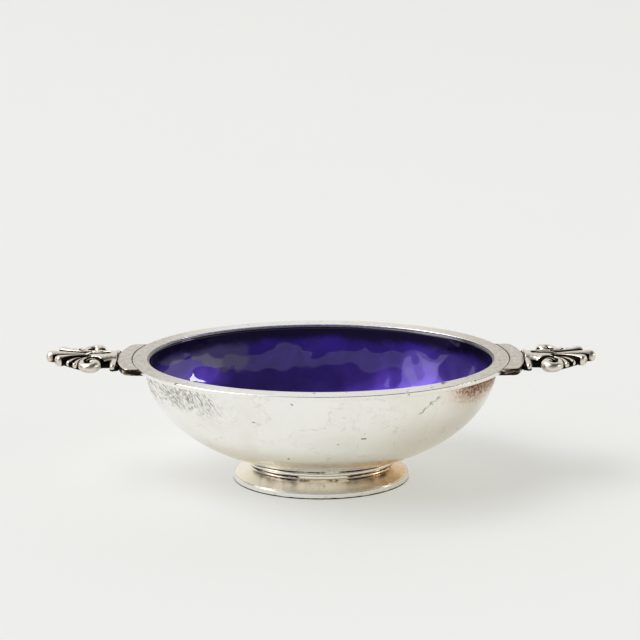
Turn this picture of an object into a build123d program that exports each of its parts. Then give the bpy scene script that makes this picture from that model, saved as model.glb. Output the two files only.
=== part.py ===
from build123d import *

import os
from math import atan2, cos, degrees, radians, sin, sqrt

# Oval open salt cellar in silver: a raised bowl lined with fired enamel, a flat rim band, a spread oval foot
# with a bead and a base wire, and a cast palmette handle on a bracket plate at each end.
# Millimetres, +Z up, +X along the handles, origin on the table under the middle of the foot.

# Bowl: a half ellipsoid of silver sheet, enamelled inside, with its opening measured inside the enamel
OPENING_LENGTH = 60.0
OPENING_WIDTH = 37.4
BOWL_DEPTH = 19.5
SILVER_WALL = 0.6
ENAMEL_COAT = 0.3
ENAMEL_STOP = 0.25

# Rim band: a flat oval wire soldered on the bowl's lip
RIM_WIDTH = 2.6
RIM_THICKNESS = 0.8
RIM_BEVEL = 0.2

# Foot: a spread oval ring that the bowl sits on, a bead in the corner under the bowl, and a base wire
FOOT_HEIGHT = 3.85
NECK_LENGTH = 25.5
NECK_WIDTH = 16.2
NECK_WALL = 0.7
FOOT_SPREAD = 2.9
FOOT_SHOULDER = 1.5
FOOT_SAG = 0.36
BASE_WIRE_HEIGHT = 1.1
BASE_WIRE_WIDTH = 1.5
BASE_WIRE_BEVEL = 0.25
BEAD_RADIUS = 0.45
BEAD_STAND_OFF = 0.22

# Bracket plate: follows the rim band's end, flush with its top, with a tongue that laps under it
PLATE_REACH = 2.6
PLATE_SPAN = 14.2
PLATE_TONGUE = 0.45
PLATE_CORNER = 1.1

# Neck band: a saddle bar across the root of the palmette, notched for its tang
BAND_SPAN = 9.2
BAND_WIDTH = 1.1
BAND_HEIGHT = 1.5
BAND_TOP = 0.2
BAND_SEAM = 0.12
BAND_BEVEL = 0.3

# Palmette: heights are from the rim's top, and places are (outwards from the fan's back, sideways)
TANG_WIDTH = 2.6
TANG_THICKNESS = 1.0
TANG_TOP = 0.25
FAN_WIDTH = 7.4
FAN_LENGTH = 1.6
FAN_NOSE = 1.9
FAN_THICKNESS = 1.8
FAN_TOP = 0.45
FAN_CROWN = 0.35
FAN_CORNER = 0.5
RIB_ROOT_WIDTH = 0.6
RIB_ROOT_SHOULDER = 0.1
RIB_ROOT_UNDERSIDE = 1.1
RIB_BEND_STEP = 20
RIB_END_STEP = 36
RIB_END_STATIONS = 2
TIP_ROOT = 0.7
TIP_REACH = 10.15
TIP_RADIUS = 1.1
TIP_SHOULDER = 0.0
TIP_UNDERSIDE = 0.8

# Side ribs of the palmette, from beside the tip rib to beside the volute
SIDE_RIB_ROOTS = ((2.2, 0.4), (2.75, 0.75), (3.0, 1.15))
SIDE_RIB_ENDS = ((8.25, 2.4), (6.6, 3.55), (5.55, 4.15))
SIDE_RIB_RADII = (0.98, 0.56, 0.5)
SIDE_RIB_SHOULDERS = (0.0, -0.25, -0.45)
SIDE_RIB_UNDERSIDES = (0.75, 0.9, 1.1)

# Volute of the palmette: a straight lead, then quarter turns of these radii that end in a boss
VOLUTE_ROOT = (2.85, 2.0)
VOLUTE_LEAD = 1.0
VOLUTE_RADII = (1.7, 1.7, 1.2, 0.6)
VOLUTE_WIDTH = 1.15
VOLUTE_THICKNESS = 1.8
VOLUTE_DROP = 0.42
VOLUTE_BEVEL = 0.32
VOLUTE_BOSS = 0.85

# Places worked out from the sizes above
SILVER_LENGTH = OPENING_LENGTH + 2 * ENAMEL_COAT
SILVER_WIDTH = OPENING_WIDTH + 2 * ENAMEL_COAT
OUTER_LENGTH = SILVER_LENGTH + 2 * SILVER_WALL
OUTER_WIDTH = SILVER_WIDTH + 2 * SILVER_WALL
ENAMEL_DEPTH = BOWL_DEPTH - RIM_THICKNESS
SILVER_DEPTH = ENAMEL_DEPTH + ENAMEL_COAT
OUTER_DEPTH = SILVER_DEPTH + SILVER_WALL
NECK_SHARE = max(NECK_LENGTH / OUTER_LENGTH, NECK_WIDTH / OUTER_WIDTH)
LIP_Z = FOOT_HEIGHT + OUTER_DEPTH * sqrt(1 - NECK_SHARE**2)
RIM_Z = LIP_Z + RIM_THICKNESS
RIM_LENGTH = SILVER_LENGTH + 2 * RIM_WIDTH
RIM_BREADTH = SILVER_WIDTH + 2 * RIM_WIDTH
PLATE_THICKNESS = RIM_THICKNESS + PLATE_TONGUE
PLATE_EDGE_X = RIM_LENGTH / 2 + PLATE_REACH
FAN_BACK_X = PLATE_EDGE_X + BAND_WIDTH + 2 * BAND_SEAM


def oval(length, width):
    """A flat oval of the given length along X and width along Y."""
    return Ellipse(length / 2, width / 2)


def oval_prism(length, width, bottom, top):
    return Pos(0, 0, bottom) * extrude(oval(length, width), amount=top - bottom)


def half_ellipsoid(length, width, depth):
    """The lower half of an ellipsoid whose widest oval lies on the bowl's lip."""
    ball = scale(Sphere(1), by=(length / 2, width / 2, depth))
    return Pos(0, 0, LIP_Z) * split(ball, bisect_by=Plane.XY, keep=Keep.BOTTOM)


def bowl_outside():
    return half_ellipsoid(OUTER_LENGTH, OUTER_WIDTH, OUTER_DEPTH)


def bowl_inside():
    return half_ellipsoid(SILVER_LENGTH, SILVER_WIDTH, SILVER_DEPTH)


def sweep_round_neck(profile):
    """Sweeps a profile round the neck oval. The profile's x is outwards from the neck and its y is height."""
    start = Plane(origin=(NECK_LENGTH / 2, 0, 0), x_dir=(1, 0, 0), z_dir=(0, -1, 0))
    return sweep(start * profile, path=Wire([Edge.make_ellipse(NECK_LENGTH / 2, NECK_WIDTH / 2)]))


def make_bowl():
    return bowl_outside() - bowl_inside()


def make_enamel_lining():
    """The enamel coats the bowl and runs up inside the rim band, stopping just short of its top."""
    top = RIM_Z - ENAMEL_STOP
    coat = bowl_inside() + oval_prism(SILVER_LENGTH, SILVER_WIDTH, LIP_Z, top)
    hollow = half_ellipsoid(OPENING_LENGTH, OPENING_WIDTH, ENAMEL_DEPTH)
    hollow += oval_prism(OPENING_LENGTH, OPENING_WIDTH, LIP_Z, top)
    return coat - hollow


def make_rim_band():
    ring = oval_prism(RIM_LENGTH, RIM_BREADTH, LIP_Z, RIM_Z)
    ring -= oval_prism(SILVER_LENGTH, SILVER_WIDTH, LIP_Z, RIM_Z)
    outer_edges = ring.edges().filter_by(GeomType.ELLIPSE).sort_by(SortBy.LENGTH)[-2:]
    return chamfer(outer_edges, RIM_BEVEL)


def make_foot_spread():
    """Neck and spread of the foot in one sheet: it flares from the bowl down to the base wire."""
    neck_top = FOOT_HEIGHT + BEAD_RADIUS
    shoulder_z = BASE_WIRE_HEIGHT + FOOT_SHOULDER
    seat_in = FOOT_SPREAD - BASE_WIRE_WIDTH
    middle = (FOOT_SPREAD / 2, (shoulder_z + BASE_WIRE_HEIGHT) / 2 - FOOT_SAG)
    outline = [
        Line((0, neck_top), (0, shoulder_z)),
        ThreePointArc((0, shoulder_z), middle, (FOOT_SPREAD, BASE_WIRE_HEIGHT)),
        Line((FOOT_SPREAD, BASE_WIRE_HEIGHT), (seat_in, BASE_WIRE_HEIGHT)),
        Line((seat_in, BASE_WIRE_HEIGHT), (-NECK_WALL, shoulder_z - NECK_WALL)),
        Line((-NECK_WALL, shoulder_z - NECK_WALL), (-NECK_WALL, neck_top)),
        Line((-NECK_WALL, neck_top), (0, neck_top)),
    ]
    return sweep_round_neck(make_face(Wire(outline))) - bowl_outside()


def make_foot_base_wire():
    """A flat oval wire with a true flat underside, which the cellar stands on."""
    length, width = NECK_LENGTH + 2 * FOOT_SPREAD, NECK_WIDTH + 2 * FOOT_SPREAD
    ring = oval_prism(length, width, 0, BASE_WIRE_HEIGHT)
    ring -= oval_prism(length - 2 * BASE_WIRE_WIDTH, width - 2 * BASE_WIRE_WIDTH, 0, BASE_WIRE_HEIGHT)
    outer_edges = ring.edges().filter_by(GeomType.ELLIPSE).sort_by(SortBy.LENGTH)[-2:]
    return chamfer(outer_edges, BASE_WIRE_BEVEL)


def make_foot_bead(foot_spread):
    """Round wire laid in the corner between the neck and the bowl, fitted to both."""
    section = Pos(BEAD_STAND_OFF, FOOT_HEIGHT - BEAD_RADIUS / 2) * Circle(BEAD_RADIUS)
    return sweep_round_neck(section) - bowl_outside() - foot_spread


def make_bracket_plate():
    """A flat plate that follows the rim's end and laps under the rim band as far as the bowl's wall."""
    outline = Pos(PLATE_REACH, 0) * oval(RIM_LENGTH, RIM_BREADTH)
    outline &= Pos(PLATE_EDGE_X / 2, 0) * Rectangle(PLATE_EDGE_X, PLATE_SPAN)
    outline -= oval(OUTER_LENGTH, OUTER_WIDTH)
    outline = outline.faces().sort_by(Axis.X)[-1]
    corners = outline.vertices().filter_by(lambda corner: abs(corner.Y) > PLATE_SPAN / 2 - PLATE_CORNER)
    outline = fillet(corners.sort_by(Axis.X)[-2:], PLATE_CORNER)
    plate = Pos(0, 0, RIM_Z - PLATE_THICKNESS) * extrude(outline, amount=PLATE_THICKNESS)
    plate -= oval_prism(RIM_LENGTH, RIM_BREADTH, LIP_Z, RIM_Z)
    return plate - bowl_outside()


def make_neck_band(palmette):
    """A rounded bar across the palmette's tang, cut to fit round it."""
    bar = extrude(SlotOverall(BAND_SPAN, BAND_WIDTH, rotation=90), amount=BAND_HEIGHT)
    bar = chamfer(bar.edges().filter_by(Axis.Z, reverse=True), BAND_BEVEL)
    middle_x = PLATE_EDGE_X + BAND_SEAM + BAND_WIDTH / 2
    return Pos(middle_x, 0, RIM_Z + BAND_TOP - BAND_HEIGHT) * bar - palmette


def make_tang():
    """A flat tongue that passes through the neck band and butts against the plate's curved edge."""
    inner_x, outer_x = PLATE_EDGE_X - PLATE_REACH / 2, FAN_BACK_X + FAN_LENGTH
    tongue = Box(outer_x - inner_x, TANG_WIDTH, TANG_THICKNESS)
    tongue = Pos((inner_x + outer_x) / 2, 0, RIM_Z + TANG_TOP - TANG_THICKNESS / 2) * tongue
    plate_end = oval_prism(RIM_LENGTH, RIM_BREADTH, RIM_Z - PLATE_THICKNESS, RIM_Z + TANG_TOP)
    return tongue - Pos(PLATE_REACH, 0, 0) * plate_end


def make_fan():
    """The palmette's root block, with a crowned top and a nose that the ribs grow out of."""
    half_fan, half_nose = FAN_WIDTH / 2, TANG_WIDTH / 2
    nose = FAN_LENGTH + FAN_NOSE
    right_side = [(nose, half_nose), (FAN_LENGTH, half_fan), (0, half_fan)]
    left_side = [(u, -v) for u, v in reversed(right_side)]
    outline = make_face(Polyline(*right_side, *left_side, close=True))
    outline = fillet(outline.vertices().filter_by(lambda corner: abs(corner.Y) > half_nose), FAN_CORNER)
    block = Pos(0, 0, FAN_TOP - FAN_THICKNESS) * extrude(outline, amount=FAN_THICKNESS)
    crown_radius = (half_fan**2 + FAN_CROWN**2) / (2 * FAN_CROWN)
    crown = Pos(nose / 2, 0, FAN_TOP - crown_radius) * Rot(0, 90, 0) * Cylinder(crown_radius, 2 * nose)
    return block & crown


def rib_section(place, angle, half_width, shoulder, underside):
    """An upright section with a half-round crown above its shoulders and a flat underside."""
    outline = [
        Line((-half_width, -underside), (half_width, -underside)),
        Line((half_width, -underside), (half_width, shoulder)),
        ThreePointArc((half_width, shoulder), (0, shoulder + half_width), (-half_width, shoulder)),
        Line((-half_width, shoulder), (-half_width, -underside)),
    ]
    across, along = (-sin(angle), cos(angle), 0), (cos(angle), sin(angle), 0)
    return Plane(origin=(*place, 0), x_dir=across, z_dir=along) * make_face(Wire(outline))


def make_rib(root, end, radius, shoulder, underside):
    """A tapered rib that leaves the fan along the handle and bends out to a round end."""
    rise_u, rise_v = end[0] - root[0], end[1] - root[1]
    turn = 2 * atan2(rise_v, rise_u)
    bends = 1 + round(degrees(turn) / RIB_BEND_STEP)
    sections = []
    for station in range(bends + 1):
        share = station / bends
        angle = turn * share
        place = (root[0] + rise_u * share, root[1])
        if turn:
            bend = rise_u / sin(turn)
            place = (root[0] + bend * sin(angle), root[1] + bend * (1 - cos(angle)))
        half_width = RIB_ROOT_WIDTH / 2 * (1 - share) + radius * share
        shoulder_here = RIB_ROOT_SHOULDER * (1 - share) + shoulder * share
        underside_here = RIB_ROOT_UNDERSIDE * (1 - share) + underside * share
        sections.append(rib_section(place, angle, half_width, shoulder_here, underside_here))
    for station in range(RIB_END_STATIONS):
        lean = radians(RIB_END_STEP * (station + 1))
        reach = radius * sin(lean)
        place = (end[0] + reach * cos(turn), end[1] + reach * sin(turn))
        sections.append(rib_section(place, turn, radius * cos(lean), shoulder, underside))
    return loft(sections, ruled=True)


def make_volute():
    """A scroll of quarter turns that shrink towards a round boss."""
    place = Vector(*VOLUTE_ROOT)
    along = Vector(1, 0)
    lead_start = place - along * VOLUTE_LEAD
    path = [Line(lead_start, place)]
    for radius in VOLUTE_RADII:
        left = Vector(-along.Y, along.X)
        centre = place + left * radius
        finish = centre + along * radius
        path.append(ThreePointArc(place, centre + (along - left).normalized() * radius, finish))
        place, along = finish, left
    section = Rectangle(VOLUTE_WIDTH, VOLUTE_THICKNESS)
    section = chamfer(section.vertices(), VOLUTE_BEVEL)
    start = Plane(origin=lead_start, x_dir=(0, 1, 0), z_dir=(1, 0, 0))
    boss = Cylinder(VOLUTE_BOSS, VOLUTE_THICKNESS)
    boss = chamfer(boss.edges().filter_by(GeomType.CIRCLE), VOLUTE_BEVEL)
    scroll = sweep(start * section, path=Wire(path)) + Pos(place.X, place.Y, 0) * boss
    return Pos(0, 0, -VOLUTE_DROP) * scroll


def make_palmette():
    """The cast handle: a tang, a fan, a tip rib, and side ribs and a volute on each side."""
    ribs = zip(SIDE_RIB_ROOTS, SIDE_RIB_ENDS, SIDE_RIB_RADII, SIDE_RIB_SHOULDERS, SIDE_RIB_UNDERSIDES)
    side = [make_rib(*rib) for rib in ribs] + [make_volute()]
    ornament = make_fan() + make_rib((TIP_ROOT, 0), (TIP_REACH, 0), TIP_RADIUS, TIP_SHOULDER, TIP_UNDERSIDE)
    for piece in side:
        ornament += piece
        ornament += piece.mirror(Plane.XZ)
    return make_tang() + Pos(FAN_BACK_X, 0, RIM_Z) * ornament


def main():
    os.makedirs("parts", exist_ok=True)
    foot_spread = make_foot_spread()
    nodes = {
        "bowl": make_bowl(),
        "enamel_lining": make_enamel_lining(),
        "rim_band": make_rim_band(),
        "foot_spread": foot_spread,
        "foot_bead": make_foot_bead(foot_spread),
        "foot_base_wire": make_foot_base_wire(),
    }
    palmette = make_palmette()
    handle = {
        "bracket_plate": make_bracket_plate(),
        "neck_band": make_neck_band(palmette),
        "palmette": palmette,
    }
    for name, piece in handle.items():
        nodes["right_" + name] = piece
        nodes["left_" + name] = Rot(0, 0, 180) * piece
    for name, shape in nodes.items():
        export_step(shape, f"parts/{name}.step")


main()
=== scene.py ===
from math import atan2, cos, degrees, exp, hypot, pi, radians, sin, tan

import bmesh
import bpy
from mathutils import Matrix, Vector
from mathutils.kdtree import KDTree


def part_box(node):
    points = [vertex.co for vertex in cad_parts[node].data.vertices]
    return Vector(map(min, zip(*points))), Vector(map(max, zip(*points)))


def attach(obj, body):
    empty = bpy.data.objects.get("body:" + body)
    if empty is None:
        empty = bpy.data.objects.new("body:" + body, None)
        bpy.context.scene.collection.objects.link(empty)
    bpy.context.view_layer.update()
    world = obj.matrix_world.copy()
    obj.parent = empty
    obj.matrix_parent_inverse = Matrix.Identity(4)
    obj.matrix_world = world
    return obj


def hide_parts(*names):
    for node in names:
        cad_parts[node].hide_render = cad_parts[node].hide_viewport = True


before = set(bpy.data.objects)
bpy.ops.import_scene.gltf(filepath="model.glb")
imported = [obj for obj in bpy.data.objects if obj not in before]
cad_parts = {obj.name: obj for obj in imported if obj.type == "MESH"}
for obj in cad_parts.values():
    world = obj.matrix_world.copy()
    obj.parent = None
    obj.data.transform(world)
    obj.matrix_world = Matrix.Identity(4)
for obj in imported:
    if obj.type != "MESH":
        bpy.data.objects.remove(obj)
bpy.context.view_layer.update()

# Oval open salt cellar in silver with a fired cobalt enamel lining and a cast palmette handle at each end.
# Metres, +Z up, +X along the handles. Sizes are written in millimetres and become metres with MM.
# The CAD solids are faceted, and polished silver shows every facet, so each is replaced by a smooth piece
# that is built on the solid's own box.

scene = bpy.context.scene
MM = 0.001


def sizes_of(piece):
    """Lowest and highest corner of a CAD solid in millimetres."""
    low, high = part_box(piece)
    return Vector(low) / MM, Vector(high) / MM


bowl_low, bowl_high = sizes_of("bowl")
enamel_low, enamel_high = sizes_of("enamel_lining")
bead_low, bead_high = sizes_of("foot_bead")
band_low, band_high = sizes_of("right_neck_band")
rim_high = sizes_of("rim_band")[1]
spread_high = sizes_of("foot_spread")[1]
base_high = sizes_of("foot_base_wire")[1]
plate_high = sizes_of("right_bracket_plate")[1]
palmette_high = sizes_of("right_palmette")[1]

LIP_Z = bowl_high.z
RIM_Z = rim_high.z
SILVER_WALL = bowl_high.x - enamel_high.x
ENAMEL_COAT = 0.3
ENAMEL_STOP = 0.4
FOOT_SPREAD = 2.9
neck_x = spread_high.x - FOOT_SPREAD
neck_y = spread_high.y - FOOT_SPREAD


# Small tools

def linear(hex_colour):
    """An sRGB hex colour as the linear RGBA that Blender's sockets take."""
    parts = [int(hex_colour[place:place + 2], 16) / 255 for place in (1, 3, 5)]
    return [part / 12.92 if part <= 0.04045 else ((part + 0.055) / 1.055) ** 2.4 for part in parts] + [1]


def add(tree, kind, sockets=None, **settings):
    """Adds a node, sets its properties, and fills its sockets with values or with links to other sockets."""
    made = tree.nodes.new(kind)
    for name, value in settings.items():
        setattr(made, name, value)
    for name, value in (sockets or {}).items():
        if isinstance(value, bpy.types.NodeSocket):
            tree.links.new(value, made.inputs[name])
        else:
            made.inputs[name].default_value = value
    return made


def start_tree(name, inputs):
    """An empty Geometry Nodes tree with these named inputs, and the sockets that give them."""
    tree = bpy.data.node_groups.new(name, "GeometryNodeTree")
    for label, kind in inputs.items():
        tree.interface.new_socket(label, in_out="INPUT", socket_type="NodeSocket" + kind)
    tree.interface.new_socket("Piece", in_out="OUTPUT", socket_type="NodeSocketGeometry")
    return tree, add(tree, "NodeGroupInput").outputs


def end_tree(tree, shape, material):
    """Closes a tree: smooth shading, real geometry instead of instances, and the piece's material."""
    smooth = add(tree, "GeometryNodeSetShadeSmooth", {"Geometry": shape})
    real = add(tree, "GeometryNodeRealizeInstances", {"Geometry": smooth.outputs["Geometry"]})
    dressed = add(tree, "GeometryNodeSetMaterial", {
        "Geometry": real.outputs["Geometry"], "Material": material})
    add(tree, "NodeGroupOutput", {"Piece": dressed.outputs["Geometry"]})
    return tree


def settle(piece):
    """Turns a piece and its modifiers into a plain mesh."""
    depsgraph = bpy.context.evaluated_depsgraph_get()
    mesh = bpy.data.meshes.new_from_object(piece.evaluated_get(depsgraph))
    piece.modifiers.clear()
    piece.data = mesh
    return piece


def new_piece(name, mesh=None):
    """An object at the origin with this mesh, or with an empty one."""
    piece = bpy.data.objects.new(name, mesh or bpy.data.meshes.new(name))
    scene.collection.objects.link(piece)
    return piece


def grow(tree, name, sizes, mesh=None):
    """Runs a tree with these sizes and keeps what it makes as a plain mesh."""
    piece = new_piece(name, mesh)
    maker = piece.modifiers.new("maker", "NODES")
    maker.node_group = tree
    identifiers = {socket.name: socket.identifier for socket in tree.interface.items_tree}
    for label, value in sizes.items():
        maker[identifiers[label]] = value
    return settle(piece)


def reshape(piece, change):
    """Lets a function edit the piece's mesh, then faces every side outwards."""
    shape = bmesh.new()
    shape.from_mesh(piece.data)
    change(shape)
    bmesh.ops.recalc_face_normals(shape, faces=shape.faces)
    for face in shape.faces:
        face.smooth = True
    shape.to_mesh(piece.data)
    shape.free()
    return piece


# Materials

def start_material(name):
    """An empty material, its nodes, and the place on the piece in millimetres."""
    material = bpy.data.materials.new(name)
    material.use_nodes = True
    tree = material.node_tree
    tree.nodes.clear()
    metres = add(tree, "ShaderNodeTexCoord").outputs["Object"]
    place = add(tree, "ShaderNodeVectorMath", {
        0: metres, "Scale": 1 / MM}, operation="SCALE").outputs["Vector"]
    return material, tree, place


def end_material(tree, sockets):
    """Closes a material with its one shader."""
    surface = add(tree, "ShaderNodeBsdfPrincipled", sockets)
    add(tree, "ShaderNodeOutputMaterial", {"Surface": surface.outputs["BSDF"]})


def per_mm(size):
    """Texture scale that gives features of this many millimetres."""
    return 1 / size


def where(tree, *shares):
    """Product of several shares of a surface. A share is a socket, a number, or limits: a value, where the
    share starts and where it is full, which may be lower, and its own two ends where these aren't 0 and 1."""
    product = None
    for share in shares:
        if isinstance(share, tuple):
            value, start, full, *ends = share
            least, most = ends or (0.0, 1.0)
            share = add(tree, "ShaderNodeMapRange", {
                "Value": value, "From Min": start, "From Max": full, "To Min": least, "To Max": most},
                interpolation_type="SMOOTHSTEP").outputs[0]
        if product is not None:
            share = add(tree, "ShaderNodeMath", {0: product, 1: share}, operation="MULTIPLY").outputs[0]
        product = share
    return product


def lay(tree, colour, tint, *shares):
    """The colour with a tint laid over it by the product of these shares."""
    return add(tree, "ShaderNodeMix", {
        "Factor": where(tree, *shares), 6: colour, 7: linear(tint)}, data_type="RGBA").outputs[2]


# Where age, use and painted shade show on the silver, in millimetres, from where a mark starts to where it is
# full
WARM_SHADE_X = (-4, 26)
WARM_SHADE_Z = (20, 6)
BOTTOM_Z = (12, 7.5)
ABOVE_FOOT_Z = (5.8, 6.6)
SHORT_OF_PLATES = (32.5, 31.5)
TARNISH_X = (19, 26)
TARNISH_Z = (15, 20.5)
UNDER_RIM_Z = (LIP_Z + 0.1, LIP_Z - 0.2)
TAN_FOOT_Z = (4.2, 3.0)
ABOVE_BASE_Z = (base_high.z - 0.02, base_high.z + 0.2)
BROWN_FOOT_X = (2, 13)
RIM_TOP_Z = (RIM_Z - 0.16, RIM_Z - 0.04)
RIM_ENDS_SHADE_X = (14, 31)
SCRATCHED_X = (-12, -22)
SCRATCHED_Z = (14.5, 19)
BELOW_LIP_Z = (LIP_Z, LIP_Z - 0.3)
# The rubbing scratches: their slant in degrees, how far they are drawn out each way, and their width
SCRATCH_SLANT = -52
SCRATCH_DRAW = (0.16, 0.12, 1)
SCRATCH_WIDTH = 0.13
# The ragged scratch: its run, how far it strays from it, and its soft edge
RAGGED_START = Vector((16.3, 0, 17.6))
RAGGED_END = Vector((20.0, 0, 20.2))
RAGGED_STRAY = 0.45
RAGGED_EDGE = (0.2, 0.08)
FRONT_Y = (0, -1)


def rubbing_scratches(tree, place, at, clouds, on_bowl):
    """Share of the rubbing scratches: noise drawn out down a slant, wider than real ones so that they show,
    and thick only at the left end under the rim."""
    slant = add(tree, "ShaderNodeMapping", {
        "Vector": place, "Rotation": (0, radians(SCRATCH_SLANT), 0)}).outputs["Vector"]
    drawn = add(tree, "ShaderNodeMapping", {"Vector": slant, "Scale": SCRATCH_DRAW}).outputs["Vector"]
    scratch = add(tree, "ShaderNodeTexNoise", {
        "Vector": drawn, "Scale": per_mm(SCRATCH_WIDTH), "Detail": 2, "Roughness": 0.6}).outputs["Fac"]
    left_end = where(tree, on_bowl, (at["X"], *SCRATCHED_X), (at["Z"], *SCRATCHED_Z), (clouds, 0.3, 0.5))
    hatch = add(tree, "ShaderNodeMath", {
        0: left_end, 1: 0.12, 2: scratch}, operation="MULTIPLY_ADD").outputs[0]
    return where(tree, (hatch, 0.57, 0.68), (left_end, 0.0, 0.6, 0.05, 1.0), (at["Z"], *BELOW_LIP_Z))


def ragged_scratch(tree, place, at, specks, freckles):
    """Share of one ragged scratch that climbs towards the rim at the right of the front."""
    run = RAGGED_END - RAGGED_START
    across = Vector((-run.z, 0, run.x)) / run.length
    from_start = add(tree, "ShaderNodeVectorMath", {
        0: place, 1: RAGGED_START}, operation="SUBTRACT").outputs["Vector"]
    along_run = add(tree, "ShaderNodeVectorMath", {
        0: from_start, 1: run / run.length_squared}, operation="DOT_PRODUCT").outputs["Value"]
    across_run = add(tree, "ShaderNodeVectorMath", {
        0: from_start, 1: across}, operation="DOT_PRODUCT").outputs["Value"]
    stray = where(tree, (specks, 0.3, 0.7, -RAGGED_STRAY, RAGGED_STRAY))
    strayed = add(tree, "ShaderNodeMath", {0: stray, 1: across_run}, operation="ADD").outputs[0]
    aside = add(tree, "ShaderNodeMath", {0: strayed}, operation="ABSOLUTE").outputs[0]
    return where(tree, (aside, *RAGGED_EDGE), (along_run, -0.05, 0.05), (along_run, 1.05, 0.95),
                 (at["Y"], *FRONT_Y), (freckles, 0.4, 0.55))


def seam_dirt_and_shade(tree, place):
    """Share of dirt and painted shade in the seams and creases: as marked on the pieces, and made uneven by
    streaks that run round them.
    """
    marked = add(tree, "ShaderNodeAttribute", attribute_name="recess").outputs["Fac"]
    flattened = add(tree, "ShaderNodeMapping", {"Vector": place, "Scale": (0.3, 0.3, 1)}).outputs["Vector"]
    streaks = add(tree, "ShaderNodeTexNoise", {
        "Vector": flattened, "Scale": per_mm(0.7), "Detail": 5, "Roughness": 0.7}).outputs["Fac"]
    mottle = where(tree, (streaks, 0.3, 0.7, -0.45, 0.45), (marked, 0.0, 0.3))
    return add(tree, "ShaderNodeMath", {0: mottle, 1: marked}, operation="ADD").outputs[0]


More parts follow.
